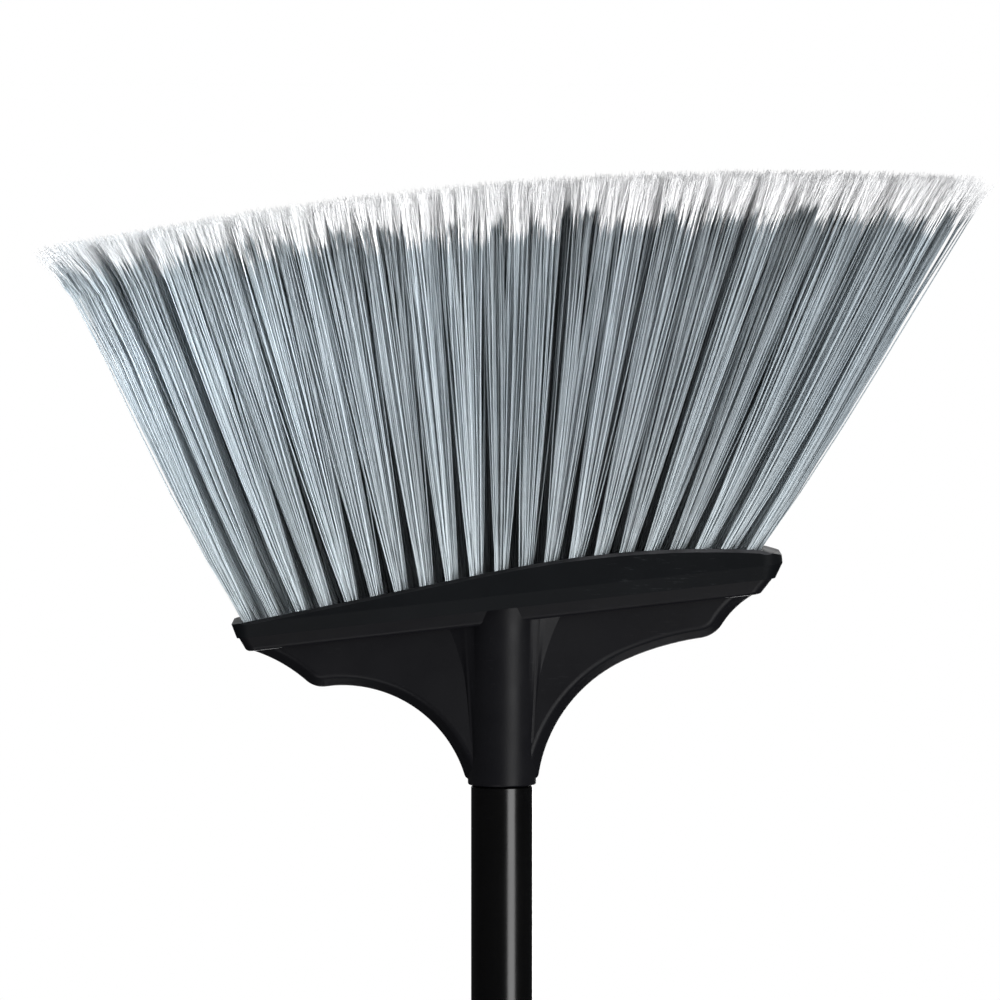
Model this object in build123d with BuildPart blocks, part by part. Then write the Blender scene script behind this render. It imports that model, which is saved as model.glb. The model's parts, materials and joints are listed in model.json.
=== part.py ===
from build123d import *
from math import cos, radians, sin, sqrt, tan
import os

# An angle broom that stands on its bristle tips, with the handle along +Z through the origin.
# The front is -Y. The heel, the high short end of the slanted head, is +X and the toe is -X.
# All sizes are in millimetres.

# Handle tube, with a rolled neck that drops into the socket
handle_radius = 11.9
handle_wall = 0.9
handle_length = 1150.0
neck_radius = 11.3
neck_shoulder = 0.8

# Screw thread between the handle's tip and the socket
thread_pitch = 5.08
thread_turns = 5.5
thread_core_radius = 7.0
thread_crest_radius = 9.45
thread_crest_width = 1.75
thread_flank_angle = 14.5
thread_lead = 1.2
thread_sink = 0.3

# Threaded tip, held in the tube's neck
tip_flange = 2.0
tip_insert_length = 30.0
tip_chamfer = 1.0

# Hanging cap, which swivels on a plug in the top of the tube
plug_insert_length = 22.0
plug_flange = 1.6
plug_neck_radius = 4.2
plug_neck_length = 5.0
plug_head_radius = 5.8
plug_head_length = 3.0
plug_head_chamfer = 0.8
hang_body_height = 14.0
hang_body_inset = 0.3
hang_tab_thickness = 9.0
hang_tab_inset = 1.2
hang_hole_radius = 5.0
hang_hole_height = 15.0
hang_edge_round = 1.5

# Clearances
running_fit = 0.06
seat_fit = 0.1
press_fit = 0.05
loose_fit = 0.3
thread_fit = 0.42

# Slanted head: its own frame lies on the rim's chord, tilted up towards the heel
head_tilt = 6.4
head_shift = -1.9
head_height = 162.4
rim_half_width = 106.0
rim_half_depth = 24.5
rim_corner = 7.5
rim_draft = 24.0
seam_height = 5.5
seam_shift = 1.0

# Underside of the head: straight from the heel to the middle, then an arc up to the toe
face_drop = 9.5
face_toe_drop = 6.0
face_toe_reach = 98.0
face_lip = 1.2
lip_chamfer = 1.2
lip_slope = 45.0

# Bristles: rows of tufts, each row fused to a strip of backing
row_count = 5
row_pitch = 8.6
row_shift = 1.9
tufts_in_long_row = 21
tuft_pitch = 9.56
strands_across_tuft = 2
strip_thickness = 3.0
strip_end = 4.6
strand_root_width = 2.4
strand_tip_width = 2.0
strand_root_pitch = 3.0
fan_half_width = 167.0
fan_depth_ratio = 1.6
tip_arc_radius = 1310.0
tip_low_point = -105.0

# Cap: a sloped skirt on the block, a tapered web with two shoulders, the socket's boss and its flanks
skirt_end_ledge = 0.3
skirt_side_ledge = 8.0
skirt_height = 6.0
skirt_top_half_depth = 12.5
skirt_heel_slope = 2.6
skirt_toe_slope = 5.8
skirt_round = 2.0
shoulder_half_width = 78.0
shoulder_height = 28.0
heel_shoulder_rise = 1.3
heel_shoulder_round = 10.0
toe_shoulder_round = 12.0
heel_slope_hollow = 1.9
toe_slope_hollow = 2.2
heel_flat = 8.0
heel_arc_slope = 2.7
toe_knee_reach = 43.7
toe_knee_height = 31.5
toe_arc_slope = -0.9
web_half_depth = 7.5
web_draft = 30.0
web_wall = 2.6
web_round = 2.5
mouth_height = 237.0
mouth_wall = 1.5
mouth_flare = 1.1
mouth_round = 0.7
boss_base_radius = 15.2
flank_height = 58.0
flank_slope = 9.2
flank_base_reach = 28.0
flank_base_round = 4.0
flank_top_reach = 12.0
flank_top_round = 0.4
flank_sink = 0.05
socket_depth = 12.0
socket_column_radius = 12.4
socket_floor = 4.0
socket_run_out = 9.0

# Screws that hold the cap on the block, driven up from the recess and covered by the strips
screw_spacing_long = 96.0
screw_spacing_deep = 18.0
screw_shift = 3.8
screw_radius = 1.9
screw_bite = 4.0
screw_head_radius = 3.5
screw_head_height = 2.3
screw_seat = 3.0
screw_slot_width = 0.9
screw_slot_depth = 1.0

# The head's frame: X runs along the slanted rim, Y from the tips to the handle
slant = radians(head_tilt)
head_plane = Plane(
    origin=(head_shift, 0, head_height),
    x_dir=(cos(slant), 0, sin(slant)),
    z_dir=(0, -1, 0),
)


def level(height, run=0):
    """A plane along the slanted rim, at a height above its chord and a run towards the heel."""
    origin = head_plane.from_local_coords((run, height, 0))
    return Plane(origin, x_dir=head_plane.x_dir, z_dir=head_plane.y_dir)


def head_point(x, z):
    """A point given in the broom's frame, as X and Y of the head's frame."""
    local = head_plane.to_local_coords(Vector(x, 0, z))
    return Vector(local.X, local.Y)


# The underside's line and arc, which meet at the middle with one tangent
face_middle = Vector(0, -face_drop)
face_heel = Vector(rim_half_width, 0)
face_toe = Vector(-face_toe_reach, -face_toe_drop)
face_along = (face_middle - face_heel).normalized()
face_inward = Vector(face_along.Y, -face_along.X)
toe_chord = face_toe - face_middle
face_radius = toe_chord.length**2 / (2 * toe_chord.dot(face_inward))
face_centre = face_middle + face_inward * face_radius
fan_run = (tufts_in_long_row - 1) / 2 * tuft_pitch
strip_heel = row_shift + fan_run + strip_end
strip_toe = row_shift - fan_run - strip_end


def face_point(run, depth):
    """A point of the underside, by its run from the middle towards the heel and its depth into the head."""
    if run >= 0:
        return face_middle - face_along * run + face_inward * depth
    turn = -run / face_radius
    spoke = face_along * sin(turn) - face_inward * cos(turn)
    return face_centre + spoke * (face_radius - depth)


def face_band(near, far, clearance):
    """Draws a layer along the underside between two depths, as long as the strips and a clearance."""
    heel = strip_heel + clearance
    toe = strip_toe - clearance
    for depth in (near, far):
        Line(face_point(heel, depth), face_point(0, depth))
        ThreePointArc(*[face_point(toe * share, depth) for share in (0, 0.5, 1)])
    for end in (heel, toe):
        Line(face_point(end, near), face_point(end, far))


def below_underside():
    """Draws what lies below the head's underside, past its ends."""
    heel_end = face_point(rim_half_width + rim_half_depth, 0)
    toe_edge = face_point(-face_toe_reach, 0)
    toe_end = Vector(-rim_half_width - rim_half_depth, face_toe_drop)
    bottom = -4 * face_drop
    Line(heel_end, face_middle)
    ThreePointArc(face_middle, face_point(-face_toe_reach / 2, 0), toe_edge)
    Polyline(toe_edge, toe_end, (toe_end.X, bottom), (heel_end.X, bottom), heel_end)


strip_near = face_lip
strip_far = face_lip + strip_thickness
rows_half_depth = row_count * row_pitch / 2

# Tuft block, with a recess below for the rows' strips
block_top_shrink = seam_height * tan(radians(rim_draft))
block_top_half_width = rim_half_width - block_top_shrink
block_top_half_depth = rim_half_depth - block_top_shrink
block_top_corner = rim_corner - block_top_shrink
screw_seat_height = seam_height - screw_seat
with BuildPart() as tuft_block:
    with BuildSketch(level(0)) as rim:
        RectangleRounded(2 * rim_half_width, 2 * rim_half_depth, rim_corner)
    with BuildSketch(level(seam_height, seam_shift)):
        RectangleRounded(2 * block_top_half_width, 2 * block_top_half_depth, block_top_corner)
    loft(ruled=True)
    extrude(rim.sketch, amount=-2 * face_drop)
    with BuildSketch(head_plane):
        with BuildLine():
            below_underside()
        make_face()
    extrude(amount=2 * rim_half_depth, both=True, mode=Mode.SUBTRACT)
    for side in (1, -1):
        with BuildSketch(head_plane.offset(side * (rim_half_depth - lip_chamfer))):
            with BuildLine():
                below_underside()
            make_face()
        extrude(amount=side * lip_chamfer, taper=-lip_slope, mode=Mode.SUBTRACT)
    with BuildSketch(head_plane):
        with BuildLine():
            face_band(-face_drop, strip_far + press_fit, press_fit)
        make_face()
    extrude(amount=rows_half_depth + press_fit, both=True, mode=Mode.SUBTRACT)
    with Locations(level(screw_seat_height, screw_shift)):
        with GridLocations(screw_spacing_long, screw_spacing_deep, 2, 2):
            Cylinder(screw_radius + loose_fit, 4 * screw_seat, mode=Mode.SUBTRACT)
            Cylinder(
                screw_head_radius + loose_fit,
                screw_seat_height + 2 * face_drop,
                align=(Align.CENTER, Align.CENTER, Align.MAX),
                mode=Mode.SUBTRACT,
            )
tuft_block.part.label = "tuft_block"

# Cap, from its skirt, web, boss and flanks, hollowed under the web
skirt_half_width = block_top_half_width - skirt_end_ledge
skirt_half_depth = block_top_half_depth - skirt_side_ledge
skirt_corner = block_top_corner - skirt_end_ledge
skirt_top = seam_height + skirt_height
skirt_heel = seam_shift + skirt_half_width - skirt_heel_slope
skirt_toe = seam_shift - skirt_half_width + skirt_toe_slope
neck_bore_radius = neck_radius + loose_fit
mouth_radius = neck_bore_radius + mouth_wall
boss_height = mouth_height - head_height
web_top = mouth_height - mouth_wall
web_sink = web_half_depth * tan(radians(web_draft)) + web_wall
seat_height = mouth_height - socket_depth
thread_length = thread_turns * thread_pitch
thread_start = seat_height - thread_lead - thread_length
tip_bottom = thread_start - thread_pitch / 2
socket_bottom = tip_bottom - socket_run_out
thread_bore_radius = thread_core_radius + thread_fit
heel_corner = Vector(shoulder_half_width, shoulder_height + heel_shoulder_rise)
toe_corner = Vector(-shoulder_half_width, shoulder_height - heel_shoulder_rise)
heel_mouth = head_point(mouth_radius + mouth_flare, web_top)
toe_mouth = head_point(-mouth_radius - mouth_flare, web_top)


def web_outline():
    """Draws the web from the front: hollow slopes to the shoulders, then hollow curves to the mouth."""
    heel_knee = heel_corner - Vector(heel_flat, 0)
    toe_knee = Vector(-toe_knee_reach, toe_knee_height)
    heel_slope = radians(heel_arc_slope)
    toe_slope = radians(toe_arc_slope)
    Line(heel_corner, heel_knee)
    TangentArc(heel_knee, heel_mouth, tangent=(-cos(heel_slope), sin(heel_slope)))
    Line(heel_mouth, toe_mouth)
    toe_arc = TangentArc(toe_corner, toe_knee, tangent=(cos(toe_slope), sin(toe_slope)))
    TangentArc(toe_knee, toe_mouth, tangent=toe_arc % 1)
    SagittaArc(heel_corner, (skirt_heel, skirt_top), -heel_slope_hollow)
    SagittaArc(toe_corner, (skirt_toe, skirt_top), toe_slope_hollow)
    Polyline(
        (skirt_toe, skirt_top),
        (skirt_toe, seam_height - web_sink),
        (skirt_heel, seam_height - web_sink),
        (skirt_heel, skirt_top),
    )


def round_shoulders(profile):
    """Rounds the two shoulders of the web's profile."""
    for corner, radius in ((heel_corner, heel_shoulder_round), (toe_corner, toe_shoulder_round)):
        fillet(profile.vertices().sort_by_distance(corner)[0], radius)


def flank_section(height, reach, radius):
    """The boss cut across, with the web's sides that slope up to it and rounds where they meet."""
    share = height / boss_height
    core_radius = boss_base_radius + share * (mouth_radius - boss_base_radius) - flank_sink
    side = web_half_depth - flank_sink
    crown = side + reach * tan(radians(flank_slope))
    with BuildSketch(Plane.XY.offset(head_height + height)) as section:
        Circle(core_radius)
        Polygon((-reach, -side), (0, -crown), (reach, -side), (reach, side), (0, crown), (-reach, side))
        corners = [
            corner
            for corner in section.vertices()
            if abs(Vector(corner.X, corner.Y).length - core_radius) < flank_sink
        ]
        fillet(corners, radius)
    return section.sketch


def thread_solid(start, turns, low_radius, high_radius, growth):
    """A ridge along a right-hand helix about Z, wider at its low radius by the flanks' angle."""
    half_high = thread_crest_width / 2 + growth
    half_low = half_high + (high_radius - low_radius) * tan(radians(thread_flank_angle))
    reach = high_radius - low_radius
    with BuildPart() as ridge:
        with BuildLine() as path:
            Helix(thread_pitch, turns * thread_pitch, low_radius, center=(0, 0, start))
        with BuildSketch(Plane(path.line @ 0, x_dir=(1, 0, 0), z_dir=path.line % 0)):
            Polygon((0, -half_low), (0, half_low), (reach, half_high), (reach, -half_high), align=None)
        sweep(path=path.line, is_frenet=True)
    return ridge.part


socket_thread = thread_solid(
    thread_start - thread_pitch,
    thread_turns + 2,
    thread_core_radius,
    thread_crest_radius + thread_fit,
    thread_fit,
)
with BuildPart() as web:
    with BuildSketch(head_plane) as web_profile:
        with BuildLine():
            web_outline()
        make_face()
        round_shoulders(web_profile)
    extrude(amount=web_half_depth, both=True, taper=web_draft)
    fillet(web.edges(), web_round)
with BuildPart() as boss:
    with Locations((0, 0, head_height)):
        Cone(boss_base_radius, mouth_radius, boss_height, align=(Align.CENTER, Align.CENTER, Align.MIN))
    fillet(boss.edges().group_by(Axis.Z)[-1], mouth_round)
with BuildPart() as flanks:
    flank_base = flank_section(0, flank_base_reach, flank_base_round)
    flank_top = flank_section(flank_height, flank_top_reach, flank_top_round)
    loft([flank_base, flank_top], ruled=True)
with BuildPart() as cap:
    with BuildSketch(level(seam_height, seam_shift)):
        RectangleRounded(2 * skirt_half_width, 2 * skirt_half_depth, skirt_corner)
    with BuildSketch(level(skirt_top, (skirt_heel + skirt_toe) / 2)):
        RectangleRounded(skirt_heel - skirt_toe, 2 * skirt_top_half_depth, skirt_corner)
    loft(ruled=True)
    fillet(cap.faces().sort_by(Axis(head_plane.origin, head_plane.y_dir))[-1].edges(), skirt_round)
    add(web.part)
    add(boss.part)
    add(flanks.part)
    split(bisect_by=level(seam_height), keep=Keep.TOP)
    with BuildSketch(head_plane) as hollow_profile:
        with BuildLine():
            web_outline()
        make_face()
        round_shoulders(hollow_profile)
        offset(amount=-web_wall, kind=Kind.INTERSECTION)
    extrude(amount=web_half_depth - web_wall, both=True, taper=web_draft, mode=Mode.SUBTRACT)
    with Locations((0, 0, socket_bottom - socket_floor)):
        column_height = web_top - socket_bottom + socket_floor
        Cylinder(socket_column_radius, column_height, align=(Align.CENTER, Align.CENTER, Align.MIN))
    add(socket_thread, mode=Mode.SUBTRACT)
    with BuildSketch(Plane.XY.offset(socket_bottom)):
        Circle(thread_bore_radius)
    extrude(amount=mouth_height - socket_bottom, mode=Mode.SUBTRACT)
    with BuildSketch(Plane.XY.offset(seat_height)):
        Circle(neck_bore_radius)
    extrude(amount=socket_depth, mode=Mode.SUBTRACT)
    with Locations(level(seam_height, screw_shift)):
        with GridLocations(screw_spacing_long, screw_spacing_deep, 2, 2):
            Cylinder(screw_radius + press_fit, 2 * screw_bite, mode=Mode.SUBTRACT)
cap.part.label = "cap"

# Cap screws, with slotted pan heads
with BuildPart() as cap_screws:
    with Locations(level(screw_seat_height, screw_shift)):
        with GridLocations(screw_spacing_long, screw_spacing_deep, 2, 2):
            shank_length = screw_seat + screw_bite - loose_fit
            Cylinder(screw_radius, shank_length, align=(Align.CENTER, Align.CENTER, Align.MIN))
            Cylinder(screw_head_radius, screw_head_height, align=(Align.CENTER, Align.CENTER, Align.MAX))
    with Locations(level(screw_seat_height - screw_head_height, screw_shift)):
        with GridLocations(screw_spacing_long, screw_spacing_deep, 2, 2):
            Box(2 * screw_head_radius, screw_slot_width, 2 * screw_slot_depth, mode=Mode.SUBTRACT)
cap_screws.part.label = "cap_screws"

# Bristle rows, long and short in turn, with strands that fan out to the arc of the tips
strand_tip_pitch = 2 * fan_half_width / (tufts_in_long_row - 1) / strands_across_tuft
strand_tip_pitch_deep = row_pitch * fan_depth_ratio / strands_across_tuft


def tip_height(x):
    """The height of the trimmed tips at a place across the broom."""
    return tip_arc_radius - sqrt(tip_arc_radius**2 - (x - tip_low_point) ** 2)


def strand(root, tip):
    """One tapered strand of four flat sides."""
    ends = [
        Plane(origin=place) * Rectangle(width, width)
        for place, width in ((root, strand_root_width), (tip, strand_tip_width))
    ]
    return loft(ends, ruled=True)


def tuft(run, row_place):
    """The strands of one tuft, from its root in the strip to the tips."""
    root = face_point(row_shift + run, strip_near + strip_thickness / 2)
    root = head_plane.from_local_coords((root.X, root.Y, 0))
    half = (strands_across_tuft - 1) / 2
    strands = []
    for across in range(strands_across_tuft):
        for deep in range(strands_across_tuft):
            root_place = root + Vector(
                (across - half) * strand_root_pitch,
                row_place + (deep - half) * strand_root_pitch,
            )
            tip_x = run / fan_run * fan_half_width + (across - half) * strand_tip_pitch
            tip_y = row_place * fan_depth_ratio + (deep - half) * strand_tip_pitch_deep
            strands.append(strand(root_place, Vector(tip_x, tip_y, tip_height(tip_x))))
    return strands


bristle_rows = []
for row in range((row_count + 1) // 2):
    row_place = (row - (row_count - 1) / 2) * row_pitch
    tufts_in_row = tufts_in_long_row - row % 2
    runs = [(place - (tufts_in_row - 1) / 2) * tuft_pitch for place in range(tufts_in_row)]
    strands = [piece for run in runs for piece in tuft(run, row_place)]
    with BuildPart() as bristle_row:
        with BuildSketch(head_plane.offset(-row_place)):
            with BuildLine():
                face_band(strip_near, strip_far, 0)
            make_face()
        extrude(amount=row_pitch / 2 - press_fit, both=True)
        add(strands)
    bristle_rows.append(bristle_row)
for front_row in reversed(bristle_rows[: row_count // 2]):
    with BuildPart() as back_row:
        mirror(front_row.part, about=Plane.XZ)
    bristle_rows.append(back_row)
for number, bristle_row in enumerate(bristle_rows, 1):
    bristle_row.part.label = f"bristle_row_{number}"

# Handle tube
tube_bottom = seat_height + seat_fit + tip_flange
tube_top = tube_bottom + handle_length
shoulder_start = mouth_height + seat_fit
with BuildPart() as handle_tube:
    with BuildSketch(Plane.XZ):
        with BuildLine():
            Polyline(
                (neck_radius, tube_bottom),
                (neck_radius, shoulder_start),
                (handle_radius, shoulder_start + neck_shoulder),
                (handle_radius, tube_top),
                (handle_radius - handle_wall, tube_top),
                (handle_radius - handle_wall, shoulder_start + neck_shoulder),
                (neck_radius - handle_wall, shoulder_start),
                (neck_radius - handle_wall, tube_bottom),
                close=True,
            )
        make_face()
    revolve(axis=Axis.Z)
handle_tube.part.label = "handle_tube"

# Threaded tip: an insert in the neck, a flange on the socket's seat and the screw below it
insert_radius = neck_radius - handle_wall - press_fit
with BuildPart() as threaded_tip:
    with BuildSketch(Plane.XZ):
        with BuildLine():
            Polyline(
                (0, tip_bottom),
                (thread_core_radius - tip_chamfer, tip_bottom),
                (thread_core_radius, tip_bottom + tip_chamfer),
                (thread_core_radius, seat_height + seat_fit),
                (neck_radius, seat_height + seat_fit),
                (neck_radius, tube_bottom),
                (insert_radius, tube_bottom),
                (insert_radius, tube_bottom + tip_insert_length),
                (0, tube_bottom + tip_insert_length),
                close=True,
            )
        make_face()
    revolve(axis=Axis.Z)
    add(thread_solid(thread_start, thread_turns, thread_core_radius - thread_sink, thread_crest_radius, 0))
threaded_tip.part.label = "threaded_tip"

# Plug in the tube's top, with a neck and a head for the hanging cap
plug_radius = handle_radius - handle_wall - press_fit
neck_bottom = tube_top + plug_flange
head_bottom = neck_bottom + plug_neck_length
head_top = head_bottom + plug_head_length
hang_radius = handle_radius - hang_body_inset
with BuildPart() as hang_plug:
    with BuildSketch(Plane.XZ):
        with BuildLine():
            Polyline(
                (0, tube_top - plug_insert_length),
                (plug_radius, tube_top - plug_insert_length),
                (plug_radius, tube_top),
                (hang_radius, tube_top),
                (hang_radius, neck_bottom),
                (plug_neck_radius, neck_bottom),
                (plug_neck_radius, head_bottom),
                (plug_head_radius, head_bottom),
                (plug_head_radius, head_top - plug_head_chamfer),
                (plug_head_radius - plug_head_chamfer, head_top),
                (0, head_top),
                close=True,
            )
        make_face()
    revolve(axis=Axis.Z)
hang_plug.part.label = "hang_plug"

# Hanging cap: a round body over the plug's head, and a flat tab with the hanging hole
hang_bottom = neck_bottom + loose_fit
hang_body_top = hang_bottom + hang_body_height
hang_hole_centre = hang_body_top + hang_hole_height - hang_hole_radius
tab_half_width = sqrt((hang_radius - hang_tab_inset) ** 2 - (hang_tab_thickness / 2) ** 2)
with BuildPart() as hang_cap:
    with BuildSketch(Plane.XY.offset(hang_bottom)):
        Circle(hang_radius)
    extrude(amount=hang_body_height)
    fillet(hang_cap.faces().sort_by(Axis.Z)[-1].edges(), radius=hang_edge_round)
    with BuildSketch(Plane.XZ):
        with Locations((0, hang_hole_centre)):
            Circle(tab_half_width)
        with Locations((0, hang_hole_centre)):
            Rectangle(
                2 * tab_half_width,
                hang_hole_centre - hang_body_top + hang_body_height / 4,
                align=(Align.CENTER, Align.MAX),
            )
    extrude(amount=hang_tab_thickness / 2, both=True)
    with BuildSketch(Plane.XZ):
        with Locations((0, hang_hole_centre)):
            Circle(hang_hole_radius)
    extrude(amount=hang_tab_thickness, both=True, mode=Mode.SUBTRACT)
    with BuildSketch(Plane.XY.offset(hang_bottom)):
        Circle(plug_neck_radius + running_fit)
    extrude(amount=plug_neck_length, mode=Mode.SUBTRACT)
    with BuildSketch(Plane.XY.offset(head_bottom - loose_fit)):
        Circle(plug_head_radius + loose_fit)
    extrude(amount=plug_head_length + 2 * loose_fit, mode=Mode.SUBTRACT)
hang_cap.part.label = "hang_cap"

os.makedirs("parts", exist_ok=True)
pieces = [tuft_block, cap, cap_screws, *bristle_rows, handle_tube, threaded_tip, hang_plug, hang_cap]
for piece in pieces:
    export_step(piece.part, f"parts/{piece.part.label}.step")
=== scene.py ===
import json
import math
import random

import bmesh
import bpy
from mathutils import Matrix, Vector

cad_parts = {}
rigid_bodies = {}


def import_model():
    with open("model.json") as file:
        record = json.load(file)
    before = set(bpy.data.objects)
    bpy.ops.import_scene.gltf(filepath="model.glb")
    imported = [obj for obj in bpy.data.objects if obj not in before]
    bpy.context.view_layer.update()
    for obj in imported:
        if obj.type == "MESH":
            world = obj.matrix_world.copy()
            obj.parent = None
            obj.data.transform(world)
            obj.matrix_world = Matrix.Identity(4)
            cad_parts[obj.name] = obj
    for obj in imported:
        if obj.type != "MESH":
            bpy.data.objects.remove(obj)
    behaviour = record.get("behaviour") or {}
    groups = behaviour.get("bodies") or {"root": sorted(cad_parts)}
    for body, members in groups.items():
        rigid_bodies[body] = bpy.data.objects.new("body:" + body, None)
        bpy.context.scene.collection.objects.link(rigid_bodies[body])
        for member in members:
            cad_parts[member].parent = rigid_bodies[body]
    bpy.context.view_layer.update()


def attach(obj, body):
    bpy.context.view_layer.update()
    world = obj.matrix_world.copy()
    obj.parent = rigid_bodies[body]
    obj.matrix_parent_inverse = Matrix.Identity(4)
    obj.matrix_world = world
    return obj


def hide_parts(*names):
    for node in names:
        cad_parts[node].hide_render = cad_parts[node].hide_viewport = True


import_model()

# Sizes of the head, in metres, as the solids have them
head_tilt = math.radians(6.4)
head_origin = Vector((-0.0019, 0, 0.1624))
rim_half_width = 0.106
face_drop = 0.0095
face_toe_drop = 0.006
face_toe_reach = 0.098
strip_near = 0.0012
strip_far = 0.0042
strip_end = 0.0046
row_count = 5
row_pitch = 0.0086
row_shift = 0.0019
tufts_in_long_row = 21
tuft_pitch = 0.00956

# Sizes of the fan that the tufts make, which reaches further at the toe than at the heel
fan_heel_reach = 0.1612
fan_toe_reach = 0.1763
fan_depth_ratio = 1.6
tip_arc_radius = 1.310
tip_low_point = -0.105

# Sizes of the tufts
tuft_root_radius = 0.0025
tuft_root_cover = 0.0005
heel_root_shift = 0.0012
tuft_tip_half_width = 0.0084
tuft_tip_half_depth = 0.0068
tuft_aim_scatter = 0.0022
tuft_spread = (0.88, 1.18)
clump_shift = 0.16
end_bow = 0.0022
heel_flare = 0.0065

# Sizes of the fibres
fibres_per_tuft = 72
fibre_radius = 0.00027
fibre_bend = 0.0018
fibre_aim_scatter = 0.0018
fibre_trim_scatter = 0.0045
splits_per_fibre = 4
split_start = 0.88
split_spread = 0.0016

# Ends of the fan, as shares of its run from the middle
bow_start = 0.6
bow_length = 0.4
heel_end_start = 0.85
heel_end_length = 0.15
toe_end_start = 0.7
toe_end_length = 0.15
heel_painted_light_length = 0.35
heel_fade_start = 0.35
heel_fade_length = 0.65

# How light the tufts are: a random tone for each tuft, painted light on the heel's tufts and on the last
# tufts at the toe, tips greyer towards the heel, and painted shade on the inner rows near the head
tuft_tone_range = (0.32, 0.46)
heel_painted_light = 0.15
heel_tip_painted_light = 0.75
heel_fade = 0.4
toe_painted_light = 0.25
row_shadow = (0.86, 0.72, 0.0)
end_shadow_step = 0.25

# Seeds of what is random
tuft_seed = 70
fibre_seed = 31
fibre_seed_step = 20

along_rim = Vector((math.cos(head_tilt), 0, math.sin(head_tilt)))
up_from_rim = Vector((-math.sin(head_tilt), 0, math.cos(head_tilt)))


def head_place(run, rise, depth=0.0):
    """A point of the head: along its slanted rim, up towards the handle and back from the front."""
    return head_origin + along_rim * run + up_from_rim * rise + Vector((0, depth, 0))


# The underside's line and arc, which meet at the middle
face_middle = Vector((0, -face_drop))
face_heel = Vector((rim_half_width, 0))
face_toe = Vector((-face_toe_reach, -face_toe_drop))
face_along = (face_middle - face_heel).normalized()
face_inward = Vector((face_along.y, -face_along.x))
toe_chord = face_toe - face_middle
face_radius = toe_chord.length_squared / (2 * toe_chord.dot(face_inward))
face_centre = face_middle + face_inward * face_radius
fan_run = (tufts_in_long_row - 1) / 2 * tuft_pitch


def face_place(run, sink, depth=0.0):
    """A point of the underside: its run from the middle towards the heel, and its sink into the head."""
    if run >= 0:
        flat = face_middle - face_along * run + face_inward * sink
    else:
        turn = -run / face_radius
        spoke = face_along * math.sin(turn) - face_inward * math.cos(turn)
        flat = face_centre + spoke * (face_radius - sink)
    return head_place(flat.x, flat.y, depth)


# Node helpers
def put(tree, kind, inputs=None, **settings):
    """Adds a node. An input is a plain value, or another node's output to link."""
    made = tree.nodes.new(kind)
    for name, value in settings.items():
        setattr(made, name, value)
    for key, value in (inputs or {}).items():
        if isinstance(value, bpy.types.NodeSocket):
            tree.links.new(value, made.inputs[key])
        else:
            made.inputs[key].default_value = value
    return made


def calc(tree, operation, *terms):
    """A Math node's result."""
    return put(tree, "ShaderNodeMath", dict(enumerate(terms)), operation=operation).outputs[0]


def product(tree, first, *others):
    """Several numbers multiplied, from the first to the last."""
    for other in others:
        first = calc(tree, "MULTIPLY", first, other)
    return first


def rest_of(tree, share):
    """What a share leaves of the whole."""
    return calc(tree, "SUBTRACT", 1.0, share)


def calc_vector(tree, operation, *terms):
    """A Vector Math node's result."""
    return put(tree, "ShaderNodeVectorMath", dict(enumerate(terms)), operation=operation).outputs[0]


def scaled(tree, vector, factor):
    """A vector times a number."""
    return put(tree, "ShaderNodeVectorMath", {0: vector, "Scale": factor}, operation="SCALE").outputs[0]


def combined(tree, x, y, z):
    """A vector from three numbers."""
    return put(tree, "ShaderNodeCombineXYZ", {0: x, 1: y, 2: z}).outputs[0]


def parted(tree, vector):
    """A vector's three numbers."""
    return put(tree, "ShaderNodeSeparateXYZ", {0: vector}).outputs


def ranged(tree, value, low=0.0, high=1.0, to_low=0.0, to_high=1.0):
    """A value's place in a range, carried over to another range."""
    inputs = {"Value": value, "From Min": low, "From Max": high, "To Min": to_low, "To Max": to_high}
    return put(tree, "ShaderNodeMapRange", inputs).outputs[0]


def noise(tree, place, scale, detail, roughness=0.5):
    """A noise texture's value."""
    inputs = {"Vector": place, "Scale": scale, "Detail": detail, "Roughness": roughness}
    return put(tree, "ShaderNodeTexNoise", inputs).outputs[0]


def mixed(tree, factor, first, second):
    """A colour between two colours."""
    mix = put(tree, "ShaderNodeMix", {"Factor": factor, 6: first, 7: second}, data_type="RGBA")
    return mix.outputs[2]


def new_tree(name, kind, inputs, outputs):
    """A node group with named sockets, and its two ends."""
    tree = bpy.data.node_groups.new(name, kind)
    for in_out, sockets in (("INPUT", inputs), ("OUTPUT", outputs)):
        for socket_name, socket_type in sockets:
            socket_kind = "NodeSocket" + socket_type
            tree.interface.new_socket(name=socket_name, in_out=in_out, socket_type=socket_kind)
    return tree, tree.nodes.new("NodeGroupInput"), tree.nodes.new("NodeGroupOutput")


def in_scene(name, data):
    """A new object in the scene."""
    piece = bpy.data.objects.new(name, data)
    bpy.context.scene.collection.objects.link(piece)
    return piece


def grown(source, tree, values, name):
    """Runs a geometry tree on a mesh and gives back its result as a plain mesh object."""
    carrier = in_scene(name, source)
    modifier = carrier.modifiers.new("grow", "NODES")
    modifier.node_group = tree
    for item in tree.interface.items_tree:
        if item.in_out == "INPUT" and item.name in values:
            modifier[item.identifier] = values[item.name]
    evaluated = carrier.evaluated_get(bpy.context.evaluated_depsgraph_get())
    mesh = bpy.data.meshes.new_from_object(evaluated)
    carrier.modifiers.remove(modifier)
    carrier.data = mesh
    bpy.data.meshes.remove(source)
    mesh.name = name
    return carrier


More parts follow.
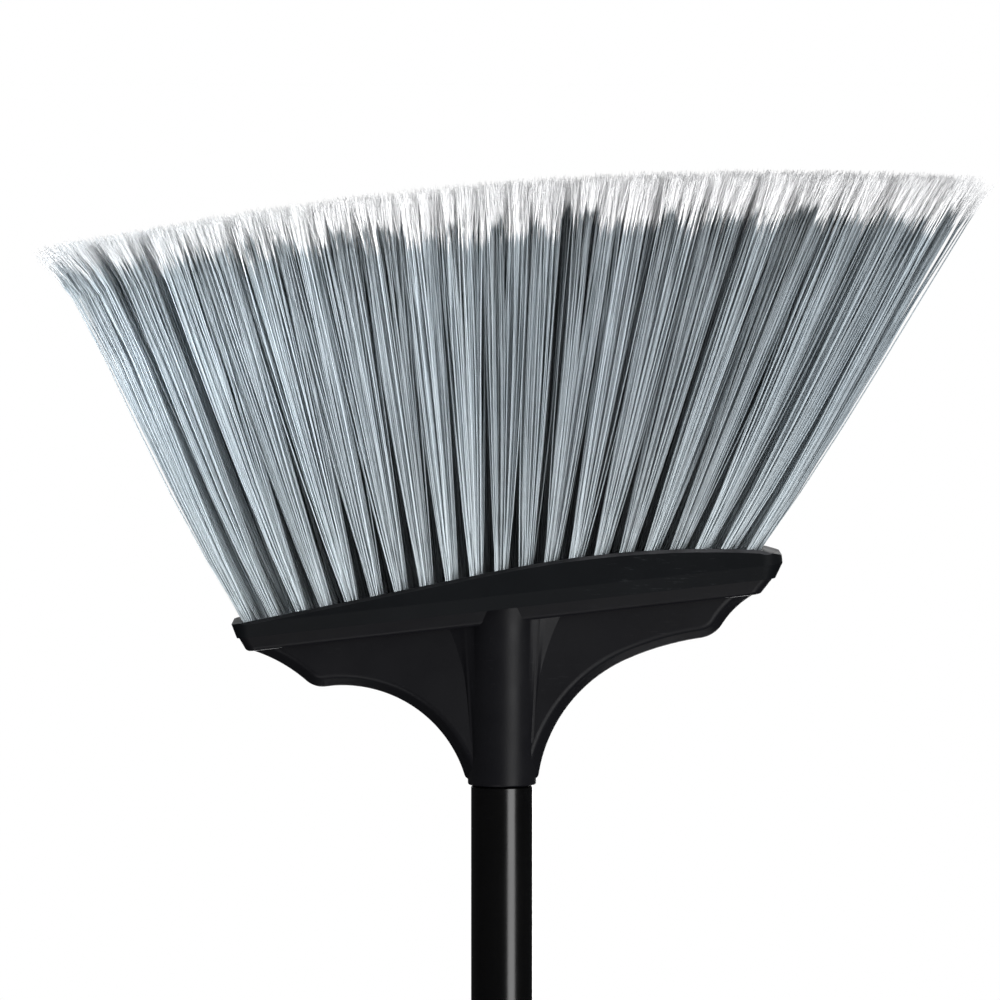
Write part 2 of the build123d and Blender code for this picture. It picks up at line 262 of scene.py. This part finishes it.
# Shared surface effects
def grain_group():
    """Fine moulding grain, with a slow drift in its gloss."""
    tree, start, end = new_tree(
        "moulding grain",
        "ShaderNodeTree",
        [("Place", "Vector"), ("Scale", "Float"), ("Gloss Low", "Float"), ("Gloss High", "Float")],
        [("Height", "Float"), ("Roughness", "Float")],
    )
    drift_coarseness = 0.03
    given = start.outputs
    fine = noise(tree, given["Place"], given["Scale"], 3.0)
    drift_scale = product(tree, given["Scale"], drift_coarseness)
    drift = noise(tree, given["Place"], drift_scale, 4.0)
    gloss = ranged(tree, drift, 0.3, 0.7, given["Gloss Low"], given["Gloss High"])
    tree.links.new(fine, end.inputs["Height"])
    tree.links.new(gloss, end.inputs["Roughness"])
    return tree


def rub_group():
    """Pale rub marks: thin crossing scratches inside worn patches."""
    tree, start, end = new_tree(
        "rub marks",
        "ShaderNodeTree",
        [("Place", "Vector"), ("Scale", "Float"), ("Amount", "Float")],
        [("Mask", "Float")],
    )
    scratch_turn = (0.0, 0.4, 0.3)
    scratch_stretch = (1.0, 1.0, 9.0)
    patch_coarseness = 0.12
    given = start.outputs
    stretched = put(
        tree,
        "ShaderNodeMapping",
        {"Vector": given["Place"], "Rotation": scratch_turn, "Scale": scratch_stretch},
    ).outputs[0]
    scratches = noise(tree, stretched, given["Scale"], 6.0, roughness=0.7)
    thin = ranged(tree, scratches, 0.6, 0.68)
    patch_scale = product(tree, given["Scale"], patch_coarseness)
    patches = noise(tree, given["Place"], patch_scale, 2.0)
    patch_mask = ranged(tree, patches, 0.5, 0.7)
    tree.links.new(product(tree, thin, patch_mask, given["Amount"]), end.inputs["Mask"])
    return tree


grain = grain_group()
rubs = rub_group()


def blank_material(name):
    """A new material, with its tree, its shader and its Object coordinates."""
    material = bpy.data.materials.new(name)
    material.use_nodes = True
    tree = material.node_tree
    shader = next(n for n in tree.nodes if n.type == "BSDF_PRINCIPLED")
    place = put(tree, "ShaderNodeTexCoord").outputs["Object"]
    return material, tree, shader, place


def bumped(tree, shader, height, strength, distance):
    """Gives a finish its fine relief."""
    bump = put(tree, "ShaderNodeBump", {"Height": height, "Strength": strength, "Distance": distance})
    tree.links.new(bump.outputs[0], shader.inputs["Normal"])


def grained(tree, shader, place, scale, gloss, strength, height):
    """Gives a finish the shared grain, as relief and as a drift in its gloss."""
    surface = put(
        tree,
        "ShaderNodeGroup",
        {"Place": place, "Scale": scale, "Gloss Low": gloss[0], "Gloss High": gloss[1]},
        node_tree=grain,
    ).outputs
    tree.links.new(surface["Roughness"], shader.inputs["Roughness"])
    bumped(tree, shader, surface["Height"], strength, height)


def rubbed_over(tree, shader, place, tone, rub_and_highlight_tone, scale, amount):
    """Gives a finish its tone, with the shared rub marks in a paler one."""
    inputs = {"Place": place, "Scale": scale, "Amount": amount}
    mask = put(tree, "ShaderNodeGroup", inputs, node_tree=rubs).outputs["Mask"]
    tree.links.new(mixed(tree, mask, tone, rub_and_highlight_tone), shader.inputs["Base Color"])


def plastic(name, dark, light, rub_and_highlight_tone, gloss, grain_scale, grain_height, rub_amount, shine=0.16):
    """Moulded plastic: two close tones, fine grain and a few rub marks."""
    cloud_scale = 35.0
    rub_scale = 160.0
    grain_strength = 0.25
    material, tree, shader, place = blank_material(name)
    shader.inputs["Specular IOR Level"].default_value = shine
    tone = mixed(tree, noise(tree, place, cloud_scale, 5.0), dark, light)
    rubbed_over(tree, shader, place, tone, rub_and_highlight_tone, rub_scale, rub_amount)
    grained(tree, shader, place, grain_scale, gloss, grain_strength, grain_height)
    return material


def paint_lip_highlight(material, rub_and_highlight_tone):
    """Paints a pale highlight on the block's sloped lower edge, in patches, most of all towards the toe.
    """
    toe_highlight_start = 0.0
    toe_highlight_full = -0.07
    heel_highlight = 0.15
    patch_scale = 90.0
    tree = material.node_tree
    shader = next(n for n in tree.nodes if n.type == "BSDF_PRINCIPLED")
    tone = shader.inputs["Base Color"].links[0].from_socket
    place = put(tree, "ShaderNodeTexCoord").outputs["Object"]
    facing = parted(tree, put(tree, "ShaderNodeNewGeometry").outputs["Normal"])
    sideways = calc(tree, "ABSOLUTE", facing[1])
    downwards = product(tree, facing[2], -1.0)
    edge = ranged(tree, calc(tree, "MINIMUM", sideways, downwards), 0.5, 0.6)
    toe = ranged(tree, parted(tree, place)[0], toe_highlight_start, toe_highlight_full, to_low=heel_highlight)
    patch_mask = ranged(tree, noise(tree, place, patch_scale, 3.0), 0.3, 0.6, to_low=0.4)
    mask = product(tree, edge, toe, patch_mask)
    tree.links.new(mixed(tree, mask, tone, rub_and_highlight_tone), shader.inputs["Base Color"])


def fibre_material():
    """Grey plastic fibre, paler at the root, with painted shade on the inner rows and between clumps,
    painted light on the heel and toe tufts, and white where its end is split.
    """
    root_grey = (0.372, 0.415, 0.438, 1)
    stem_grey = (0.303, 0.345, 0.374, 1)
    split_white = (0.91, 0.91, 0.915, 1)
    streak_scale = 220.0
    fibre_contrast = 0.45
    streak_contrast = 0.3
    clump_contrast = 0.35
    clump_drift = 0.07
    fibre_drift = 0.025
    heel_drift = -0.035
    material, tree, shader, place = blank_material("fibre_grey")
    names = ("along", "tone", "inner_row_shade", "clump", "tuft_tone_and_painted_light", "lit", "pale")
    along, tone, inner_row_shade, clump, tuft_tone_and_painted_light, lit, pale = (
        put(tree, "ShaderNodeAttribute", attribute_name=name).outputs["Fac"] for name in names
    )
    streaks = noise(tree, place, streak_scale, 3.0)

    # Fibres, streaks, clumps and tufts differ in lightness at random, and painted light makes the heel's
    # tufts and the last tufts at the toe lighter, the heel most of all towards its tips
    light = product(tree, tone, fibre_contrast)
    light = calc(tree, "MULTIPLY_ADD", streaks, streak_contrast, light)
    light = calc(tree, "MULTIPLY_ADD", clump, clump_contrast, light)
    light = calc(tree, "ADD", light, tuft_tone_and_painted_light)
    light = calc(tree, "MULTIPLY_ADD", lit, product(tree, along, heel_tip_painted_light), light)

    # Painted shade: the inner rows are darker near the head, and some clumps are darker just below their
    # split ends, as the gaps between clumps lie in shade
    sunk = ranged(tree, along, 0.15, 0.6, to_low=1.0, to_high=0.2)
    kept = rest_of(tree, product(tree, inner_row_shade, sunk))
    teeth = ranged(tree, along, 0.68, 0.88, to_high=0.45)
    painted_gap_shade = product(tree, teeth, rest_of(tree, clump))
    kept = product(tree, kept, rest_of(tree, painted_gap_shade))
    body = mixed(tree, ranged(tree, along, 0.05, 0.45), root_grey, stem_grey)
    grey = scaled(tree, body, product(tree, light, kept))

    # The white begins at a different place in each clump and fibre, and nearer the tip at the heel
    drift = calc(tree, "MULTIPLY_ADD", calc(tree, "SUBTRACT", clump, 0.5), clump_drift, along)
    drift = calc(tree, "MULTIPLY_ADD", calc(tree, "SUBTRACT", tone, 0.5), fibre_drift, drift)
    drift = calc(tree, "MULTIPLY_ADD", lit, heel_drift, drift)
    whitened = product(tree, ranged(tree, drift, 0.88, 0.905), pale)
    tree.links.new(mixed(tree, whitened, grey, split_white), shader.inputs["Base Color"])
    gloss = ranged(tree, streaks, to_low=0.42, to_high=0.7)
    tree.links.new(gloss, shader.inputs["Roughness"])
    return material


def coat_material():
    """Gloss black coating on the tube, with a faint ripple, lengthwise hairlines and dulled patches."""
    coat_dark = (0.0006, 0.0006, 0.0007, 1)
    coat_light = (0.0016, 0.0016, 0.0018, 1)
    coat_rubbed = (0.02, 0.02, 0.022, 1)
    lengthwise = (1.0, 1.0, 0.02)
    hairline_scale = 900.0
    material, tree, shader, place = blank_material("handle_coat_black")
    shader.inputs["Specular IOR Level"].default_value = 0.53
    drawn = put(tree, "ShaderNodeMapping", {"Vector": place, "Scale": lengthwise}).outputs[0]
    tone = mixed(tree, noise(tree, drawn, hairline_scale, 4.0), coat_dark, coat_light)
    rubbed_over(tree, shader, place, tone, coat_rubbed, scale=120.0, amount=0.2)
    grained(tree, shader, place, scale=420.0, gloss=(0.17, 0.23), strength=0.05, height=0.0002)
    return material


def steel_material():
    """Black-oxide steel of the screws: a fine turned grain with paler lines."""
    steel_dark = (0.012, 0.012, 0.013, 1)
    steel_light = (0.05, 0.05, 0.052, 1)
    crosswise = (1.0, 12.0, 1.0)
    line_scale = 700.0
    material, tree, shader, place = blank_material("screw_black")
    shader.inputs["Metallic"].default_value = 1.0
    turned = put(tree, "ShaderNodeMapping", {"Vector": place, "Scale": crosswise}).outputs[0]
    lines = noise(tree, turned, line_scale, 4.0)
    tree.links.new(mixed(tree, lines, steel_dark, steel_light), shader.inputs["Base Color"])
    gloss = ranged(tree, lines, to_low=0.35, to_high=0.55)
    tree.links.new(gloss, shader.inputs["Roughness"])
    bumped(tree, shader, lines, strength=0.2, distance=0.0001)
    return material


head_black = plastic(
    "head_black",
    dark=(0.0035, 0.0035, 0.0046, 1),
    light=(0.0068, 0.0068, 0.0086, 1),
    rub_and_highlight_tone=(0.03, 0.03, 0.033, 1),
    gloss=(0.36, 0.5),
    grain_scale=1400.0,
    grain_height=0.00012,
    rub_amount=0.5,
)
block_black = plastic(
    "block_black",
    dark=(0.0033, 0.0038, 0.0046, 1),
    light=(0.0062, 0.0072, 0.0084, 1),
    rub_and_highlight_tone=(0.03, 0.033, 0.035, 1),
    gloss=(0.38, 0.52),
    grain_scale=1500.0,
    grain_height=0.00012,
    rub_amount=0.6,
    shine=0.07,
)
nylon_black = plastic(
    "nylon_black",
    dark=(0.012, 0.012, 0.013, 1),
    light=(0.024, 0.024, 0.026, 1),
    rub_and_highlight_tone=(0.09, 0.09, 0.09, 1),
    gloss=(0.34, 0.48),
    grain_scale=900.0,
    grain_height=0.0001,
    rub_amount=0.7,
)
hanger_black = plastic(
    "hanger_black",
    dark=(0.006, 0.006, 0.007, 1),
    light=(0.012, 0.012, 0.014, 1),
    rub_and_highlight_tone=(0.05, 0.05, 0.052, 1),
    gloss=(0.34, 0.46),
    grain_scale=1200.0,
    grain_height=0.00012,
    rub_amount=0.5,
)
strip_black = plastic(
    "strip_black",
    dark=(0.004, 0.0046, 0.0052, 1),
    light=(0.008, 0.009, 0.0095, 1),
    rub_and_highlight_tone=(0.03, 0.032, 0.034, 1),
    gloss=(0.5, 0.65),
    grain_scale=1200.0,
    grain_height=0.00012,
    rub_amount=0.3,
)
# Painted highlight on the block's sloped lower edge
paint_lip_highlight(block_black, rub_and_highlight_tone=(0.075, 0.075, 0.08, 1))
fibre_grey = fibre_material()
coat_black = coat_material()
screw_black = steel_material()


# Fibres of one row of tufts
def fibre_tree():
    """Grows the fibres of each tuft from its root to the arc of the tips, and splits their ends."""
    clumps_per_radius = 2.0
    clump_start = (1.8, 2.6)
    clump_numbers_per_tuft = 16.0
    stray_above = 0.965
    stray_reach = 0.6
    flare_power = 10.0
    split_lift = 1.6
    split_curl = 1.3
    split_thickness = (0.7, 0.25)
    stem_points = 6
    split_points = 3
    fibre_sides = 3
    tree, start, end = new_tree(
        "fibres of a row",
        "GeometryNodeTree",
        [
            ("Tufts", "Geometry"),
            ("Fibres Per Tuft", "Int"),
            ("Splits Per Fibre", "Int"),
            ("Root Radius", "Float"),
            ("Tip Arc Radius", "Float"),
            ("Tip Low Point", "Float"),
            ("Tip Half Width", "Float"),
            ("Tip Half Depth", "Float"),
            ("Fibre Radius", "Float"),
            ("Bend", "Float"),
            ("Trim Scatter", "Float"),
            ("Aim Scatter", "Float"),
            ("Clumping", "Float"),
            ("End Bow", "Float"),
            ("Heel Flare", "Float"),
            ("Split Start", "Float"),
            ("Split Spread", "Float"),
            ("Seed", "Int"),
            ("Finish", "Material"),
        ],
        [("Fibres", "Geometry")],
    )
    given = start.outputs

    def chance(low, high, draw, number=None):
        """A random number, from the tree's seed and the draw's own."""
        inputs = {2: low, 3: high, "Seed": calc(tree, "ADD", given["Seed"], draw)}
        if number:
            inputs["ID"] = number
        return put(tree, "FunctionNodeRandomValue", inputs, data_type="FLOAT").outputs[1]

    def read(name, kind="FLOAT"):
        return put(tree, "GeometryNodeInputNamedAttribute", {"Name": name}, data_type=kind).outputs[0]

    def store(geometry, name, value, kind="FLOAT"):
        kept = put(
            tree,
            "GeometryNodeStoreNamedAttribute",
            {"Geometry": geometry, "Name": name, "Value": value},
            data_type=kind,
            domain="POINT",
        )
        return kept.outputs[0]

    def repeated(points, amount):
        """Each point, as many times over."""
        inputs = {"Geometry": points, "Amount": amount}
        return put(tree, "GeometryNodeDuplicateElements", inputs, domain="POINT").outputs[0]

    def tip_rise(x):
        """The height of the arc that the tips are trimmed to."""
        radius = given["Tip Arc Radius"]
        across = calc(tree, "SUBTRACT", x, given["Tip Low Point"])
        inside = calc(tree, "SUBTRACT", product(tree, radius, radius), product(tree, across, across))
        return calc(tree, "SUBTRACT", radius, calc(tree, "SQRT", inside))

    # Every fibre keeps its place in the tuft's disc from the root to the tip
    points = repeated(given["Tufts"], given["Fibres Per Tuft"])
    turn = chance(0.0, 2 * math.pi, draw=1)
    reach = calc(tree, "SQRT", chance(0.0, 1.0, draw=2))
    points = store(points, "disc_x", product(tree, calc(tree, "COSINE", turn), reach))
    points = store(points, "disc_y", product(tree, calc(tree, "SINE", turn), reach))
    disc_x = read("disc_x")
    disc_y = read("disc_y")
    here = put(tree, "GeometryNodeInputPosition").outputs[0]
    root_x = product(tree, disc_x, given["Root Radius"])
    root_y = product(tree, disc_y, given["Root Radius"])
    root = calc_vector(tree, "ADD", here, combined(tree, root_x, root_y, 0.0))
    points = store(points, "root", root, "FLOAT_VECTOR")
    aim = parted(tree, read("aim", "FLOAT_VECTOR"))

    # Towards the tips a tuft parts into a few clumps, and a few fibres stray
    cell_start = chance(*clump_start, draw=11, number=read("number"))
    cell = calc(tree, "FLOOR", calc(tree, "MULTIPLY_ADD", disc_x, clumps_per_radius, cell_start))
    cell_number = calc(tree, "MULTIPLY_ADD", read("number"), clump_numbers_per_tuft, cell)
    points = store(points, "clump", chance(0.0, 1.0, draw=12, number=cell_number))
    cell_shift = chance(-1.0, 1.0, draw=13, number=cell_number)
    stray = calc(tree, "GREATER_THAN", chance(0.0, 1.0, draw=14), stray_above)
    across = product(tree, disc_x, calc(tree, "MULTIPLY_ADD", stray, stray_reach, read("spread")))
    across = calc(tree, "MULTIPLY_ADD", cell_shift, given["Clumping"], across)
    tip_x = calc(tree, "MULTIPLY_ADD", across, given["Tip Half Width"], aim[0])
    tip_x = calc(tree, "ADD", tip_x, product(tree, chance(-1.0, 1.0, draw=3), given["Aim Scatter"]))
    tip_y = calc(tree, "MULTIPLY_ADD", disc_y, given["Tip Half Depth"], aim[1])
    trim = product(tree, chance(0.0, 1.0, draw=4), given["Trim Scatter"])
    tip_z = calc(tree, "ADD", calc(tree, "ADD", tip_rise(tip_x), trim), given["Fibre Radius"])
    points = store(points, "tip", combined(tree, tip_x, tip_y, tip_z), "FLOAT_VECTOR")
    sway = combined(tree, chance(-1.0, 1.0, draw=5), chance(-1.0, 1.0, draw=6), 0.0)
    points = store(points, "sway", scaled(tree, sway, given["Bend"]), "FLOAT_VECTOR")
    points = store(points, "tone", chance(0.0, 1.0, draw=7))

    def line_on(geometry, count):
        """A line of a few points on each point."""
        line = put(tree, "GeometryNodeCurvePrimitiveLine", {"End": (0.0, 0.0, 1.0)}).outputs[0]
        line = put(tree, "GeometryNodeResampleCurve", {"Curve": line, "Count": count}).outputs[0]
        inputs = {"Points": geometry, "Instance": line}
        placed = put(tree, "GeometryNodeInstanceOnPoints", inputs).outputs[0]
        return put(tree, "GeometryNodeRealizeInstances", {0: placed}).outputs[0]

    def stem_place(share):
        """A place on a fibre, which sways a little, and bows and flares at the ends of the fan."""
        root, tip, sway = (read(name, "FLOAT_VECTOR") for name in ("root", "tip", "sway"))
        left = rest_of(tree, share)
        straight = scaled(tree, calc_vector(tree, "SUBTRACT", tip, root), share)
        straight = calc_vector(tree, "ADD", root, straight)
        # Each bow is scaled to be 1 where it is largest
        even_bow = product(tree, share, left, 4.0)
        low_bow = product(tree, share, product(tree, left, left), 27 / 4)
        bulge = product(tree, low_bow, given["End Bow"], read("ended"))
        swept = product(tree, calc(tree, "POWER", share, flare_power), given["Heel Flare"])
        outward = combined(tree, calc(tree, "MULTIPLY_ADD", swept, read("heel"), bulge), 0.0, 0.0)
        swayed = calc_vector(tree, "ADD", straight, scaled(tree, sway, even_bow))
        return calc_vector(tree, "ADD", swayed, outward)

    def along_fibre(lines, places):
        """Lines laid along their fibres."""
        return put(tree, "GeometryNodeSetPosition", {"Geometry": lines, "Position": places}).outputs[0]

    # Stems
    factor = put(tree, "GeometryNodeSplineParameter").outputs["Factor"]
    stem_share = product(tree, factor, given["Split Start"])
    stems = along_fibre(line_on(points, stem_points), stem_place(stem_share))
    stems = store(stems, "along", stem_share)
    stems = store(stems, "girth", given["Fibre Radius"])

    # Split ends
    splits = repeated(points, given["Splits Per Fibre"])
    flare = combined(
        tree,
        chance(-1.0, 1.0, draw=8),
        chance(-1.0, 1.0, draw=9),
        chance(0.0, split_lift, draw=10),
    )
    splits = store(splits, "flare", scaled(tree, flare, given["Split Spread"]), "FLOAT_VECTOR")
    split_length = rest_of(tree, given["Split Start"])
    split_share = calc(tree, "MULTIPLY_ADD", factor, split_length, given["Split Start"])
    opened = scaled(tree, read("flare", "FLOAT_VECTOR"), calc(tree, "POWER", factor, split_curl))
    split_place = calc_vector(tree, "ADD", stem_place(split_share), opened)
    splits = along_fibre(line_on(splits, split_points), split_place)
    splits = store(splits, "along", split_share)
    thinner = ranged(tree, factor, to_low=split_thickness[0], to_high=split_thickness[1])
    splits = store(splits, "girth", product(tree, given["Fibre Radius"], thinner))

    both = put(tree, "GeometryNodeJoinGeometry")
    tree.links.new(stems, both.inputs[0])
    tree.links.new(splits, both.inputs[0])
    profile = put(tree, "GeometryNodeCurvePrimitiveCircle", {"Resolution": fibre_sides, "Radius": 1.0})
    skin = put(
        tree,
        "GeometryNodeCurveToMesh",
        {
            "Curve": both.outputs[0],
            "Profile Curve": profile.outputs[0],
            "Scale": read("girth"),
            "Fill Caps": True,
        },
    ).outputs[0]
    smooth = put(tree, "GeometryNodeSetShadeSmooth", {"Geometry": skin}).outputs[0]
    real = put(tree, "GeometryNodeRealizeInstances", {0: smooth}).outputs[0]
    finish = {"Geometry": real, "Material": given["Finish"]}
    finished = put(tree, "GeometryNodeSetMaterial", finish).outputs[0]
    tree.links.new(finished, end.inputs["Fibres"])
    return tree


def rows_from_middle(row):
    """How many rows lie between a row and the middle one, with the front rows below nought."""
    return row - (row_count - 1) / 2


def tuft_roots(row):
    """The roots of one row's tufts, with the place that each one aims at and its own small differences."""
    from_middle = rows_from_middle(row)
    depth = from_middle * row_pitch
    shadow = row_shadow[round(abs(from_middle))]
    tufts = tufts_in_long_row - row % 2
    runs = [(place - (tufts - 1) / 2) * tuft_pitch for place in range(tufts)]
    shares = [run / fan_run for run in runs]
    heels = [max(0.0, share - heel_end_start) / heel_end_length for share in shares]
    starts = [row_shift + run + heel_root_shift * heel for run, heel in zip(runs, heels)]
    root_sink = strip_far - tuft_root_cover
    differ = random.Random(tuft_seed + row)
    mesh = bpy.data.meshes.new("tuft_roots")
    mesh.from_pydata([face_place(start, root_sink, depth) for start in starts], [], [])
    mesh.attributes.new("aim", "FLOAT_VECTOR", "POINT")
    for name in ("spread", "inner_row_shade", "number", "tuft_tone_and_painted_light", "lit", "pale", "heel", "ended"):
        mesh.attributes.new(name, "FLOAT", "POINT")
    for place, share in enumerate(shares):
        reach = fan_heel_reach if share > 0 else fan_toe_reach
        aim_x = share * reach + differ.uniform(-tuft_aim_scatter, tuft_aim_scatter)
        spread = differ.uniform(*tuft_spread)
        from_end = min(place, tufts - 1 - place)
        heelward = max(0.0, share)
        # Painted light: the heel's tufts and the last tufts at the toe are made lighter
        painted_heel_light = heel_painted_light * min(1.0, heelward / heel_painted_light_length)
        painted_toe_light = toe_painted_light * min(1.0, max(0.0, -share - toe_end_start) / toe_end_length)
        faded = heel_fade * max(0.0, heelward - heel_fade_start) / heel_fade_length
        # The inner rows get painted shade, weaker over the last tufts of a row
        values = {
            "spread": spread,
            "inner_row_shade": shadow * min(1.0, end_shadow_step * from_end),
            "number": place,
            "tuft_tone_and_painted_light": differ.uniform(*tuft_tone_range) + painted_heel_light + painted_toe_light,
            "lit": heelward,
            "pale": 1.0 - faded,
            "heel": heels[place],
            "ended": math.copysign(max(0.0, abs(share) - bow_start) / bow_length, share),
        }
        mesh.attributes["aim"].data[place].vector = (aim_x, depth * fan_depth_ratio, 0)
        for name, value in values.items():
            mesh.attributes[name].data[place].value = value
    return mesh


fibres = fibre_tree()
bristles = bpy.data.collections.new("bristles")
for row in range(row_count):
    tufts = grown(
        tuft_roots(row),
        fibres,
        {
            "Fibres Per Tuft": fibres_per_tuft,
            "Splits Per Fibre": splits_per_fibre,
            "Root Radius": tuft_root_radius,
            "Tip Arc Radius": tip_arc_radius,
            "Tip Low Point": tip_low_point,
            "Tip Half Width": tuft_tip_half_width,
            "Tip Half Depth": tuft_tip_half_depth,
            "Fibre Radius": fibre_radius,
            "Bend": fibre_bend,
            "Trim Scatter": fibre_trim_scatter,
            "Aim Scatter": fibre_aim_scatter,
            "Clumping": clump_shift,
            "End Bow": end_bow,
            "Heel Flare": heel_flare,
            "Split Start": split_start,
            "Split Spread": split_spread,
            "Seed": fibre_seed + fibre_seed_step * row,
            "Finish": fibre_grey,
        },
        f"tufts_row_{row + 1}",
    )
    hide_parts(f"bristle_row_{row + 1}")
    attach(tufts, "head")
    bristles.objects.link(tufts)


def backing_strips():
    """The rows' backing strips in the block's recess."""
    half_gap = 0.00005
    steps = 24
    half_run = fan_run + strip_end
    half_pitch = row_pitch / 2 - half_gap
    corners = [(strip_near, -1), (strip_near, 1), (strip_far, 1), (strip_far, -1)]
    shape = bmesh.new()
    for row in range(row_count):
        middle = rows_from_middle(row) * row_pitch
        rings = []
        for step in range(steps + 1):
            run = row_shift + half_run * (2 * step / steps - 1)
            places = [face_place(run, sink, middle + side * half_pitch) for sink, side in corners]
            rings.append([shape.verts.new(place) for place in places])
        for near, far in zip(rings, rings[1:]):
            for corner in range(len(corners)):
                following = (corner + 1) % len(corners)
                shape.faces.new((near[corner], near[following], far[following], far[corner]))
        shape.faces.new(rings[0])
        shape.faces.new(rings[-1])
    bmesh.ops.recalc_face_normals(shape, faces=shape.faces[:])
    mesh = bpy.data.meshes.new("backing_strips")
    shape.to_mesh(mesh)
    shape.free()
    mesh.materials.append(strip_black)
    return in_scene("backing_strips", mesh)


strips = backing_strips()
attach(strips, "head")

# Finishes of the pieces that keep their solids' shape
finishes = {
    "cap": head_black,
    "tuft_block": block_black,
    "cap_screws": screw_black,
    "handle_tube": coat_black,
    "threaded_tip": nylon_black,
    "hang_plug": nylon_black,
    "hang_cap": hanger_black,
}
for node_name, finish in finishes.items():
    for piece in bpy.data.objects:
        if piece.type == "MESH" and piece.name.split(".")[0] == node_name:
            for slot in piece.material_slots:
                slot.material = finish

floor_level = -0.032


def floor():
    """The floor, below the head at its lowest, which fades to white away from the broom."""
    floor_radius = 9.0
    floor_segments = 96
    floor_grey = (0.86, 0.86, 0.86, 1)
    fade_start = 0.35
    fade_end = 1.3
    glow_on_broom = 0.3
    mesh = bpy.data.meshes.new("floor")
    shape = bmesh.new()
    bmesh.ops.create_circle(shape, cap_ends=True, segments=floor_segments, radius=floor_radius)
    bmesh.ops.translate(shape, verts=shape.verts[:], vec=(0, 0, floor_level))
    shape.to_mesh(mesh)
    shape.free()
    material = bpy.data.materials.new("floor_pale")
    material.use_nodes = True
    tree = material.node_tree
    tree.nodes.clear()
    place = put(tree, "ShaderNodeTexCoord").outputs["Object"]
    away = put(tree, "ShaderNodeVectorMath", {0: place}, operation="LENGTH").outputs["Value"]
    fade = put(
        tree,
        "ShaderNodeMapRange",
        {"Value": away, "From Min": fade_start, "From Max": fade_end},
        interpolation_type="SMOOTHSTEP",
    )
    pale = put(tree, "ShaderNodeBsdfDiffuse", {"Color": floor_grey})
    seen = put(tree, "ShaderNodeLightPath").outputs["Is Camera Ray"]
    glow = ranged(tree, seen, to_low=glow_on_broom)
    white = put(tree, "ShaderNodeEmission", {"Color": (1, 1, 1, 1), "Strength": glow})
    mix = put(tree, "ShaderNodeMixShader", {0: fade.outputs[0], 1: pale.outputs[0], 2: white.outputs[0]})
    out = put(tree, "ShaderNodeOutputMaterial")
    tree.links.new(mix.outputs[0], out.inputs[0])
    mesh.materials.append(material)
    piece = in_scene("floor", mesh)


floor()


# Light
def aimed(place, target):
    """The turn of a lamp or a camera that looks from one place at another."""
    return (Vector(target) - Vector(place)).to_track_quat("-Z", "Y")


def lamp(name, place, target, width, height, watts):
    """A soft rectangular lamp that the camera doesn't see."""
    data = bpy.data.lights.new(name, "AREA")
    data.shape = "RECTANGLE"
    data.size = width
    data.size_y = height
    data.energy = watts
    piece = in_scene(name, data)
    piece.visible_camera = False
    piece.location = place
    piece.rotation_mode = "QUATERNION"
    piece.rotation_quaternion = aimed(place, target)
    return piece


fibre_key = lamp("key_heel", (0.44, -0.35, 0.04), (0.04, 0, 0.09), width=0.3, height=0.16, watts=4.1)
lamp("strip_right", (-0.95, -1.35, 0.85), (0, 0, 0.7), width=0.8, height=2.0, watts=25)
lamp("soft_top", (0.4, -1.2, 2.4), (0, 0, 0.5), width=1.2, height=1.2, watts=12)
lamp("soft_back", (-0.3, 2.2, 0.85), (0, 0, 0.7), width=1.0, height=1.8, watts=30)

# The low key lamp is flagged off the black mouldings
fibre_key.light_linking.receiver_collection = bristles

# White all round for the camera, and a cool fill that hardly shows in the glossy pieces
fill_tint = (0.96, 0.98, 1.0, 1)
fill_light = 0.5
fill_in_gloss = 0.03
world = bpy.context.scene.world or bpy.data.worlds.new("studio")
bpy.context.scene.world = world
world.use_nodes = True
sky = world.node_tree
sky.nodes.clear()
ray = put(sky, "ShaderNodeLightPath").outputs
fill_strength = ranged(sky, ray["Is Glossy Ray"], to_low=fill_light, to_high=fill_in_gloss)
fill = put(sky, "ShaderNodeBackground", {"Color": fill_tint, "Strength": fill_strength})
white = put(sky, "ShaderNodeBackground", {"Color": (1, 1, 1, 1), "Strength": 1.0})
seen = put(sky, "ShaderNodeMixShader", {0: ray["Is Camera Ray"], 1: fill.outputs[0], 2: white.outputs[0]})
sky_out = put(sky, "ShaderNodeOutputWorld")
sky.links.new(seen.outputs[0], sky_out.inputs[0])
bpy.context.scene.view_settings.view_transform = "Standard"

# Camera just above the floor's level, turned upside down as the photograph shows the broom
frame_width = 0.384
frame_middle = Vector((0.00077, 0, 0.1275))
camera_lift = 0.00002
camera_data = bpy.data.cameras.new("camera")
camera_data.lens = 300
camera_data.sensor_width = 36
camera = in_scene("camera", camera_data)
camera_height = floor_level + camera_lift
distance = frame_width * camera_data.lens / camera_data.sensor_width
drop = frame_middle.z - camera_height
camera.location = (frame_middle.x, -math.sqrt(distance**2 - drop**2), camera_height)
camera.rotation_mode = "QUATERNION"
upside_down = Matrix.Rotation(math.pi, 3, "Z").to_quaternion()
camera.rotation_quaternion = aimed(camera.location, frame_middle) @ upside_down
bpy.context.scene.camera = camera

bpy.context.view_layer.update()
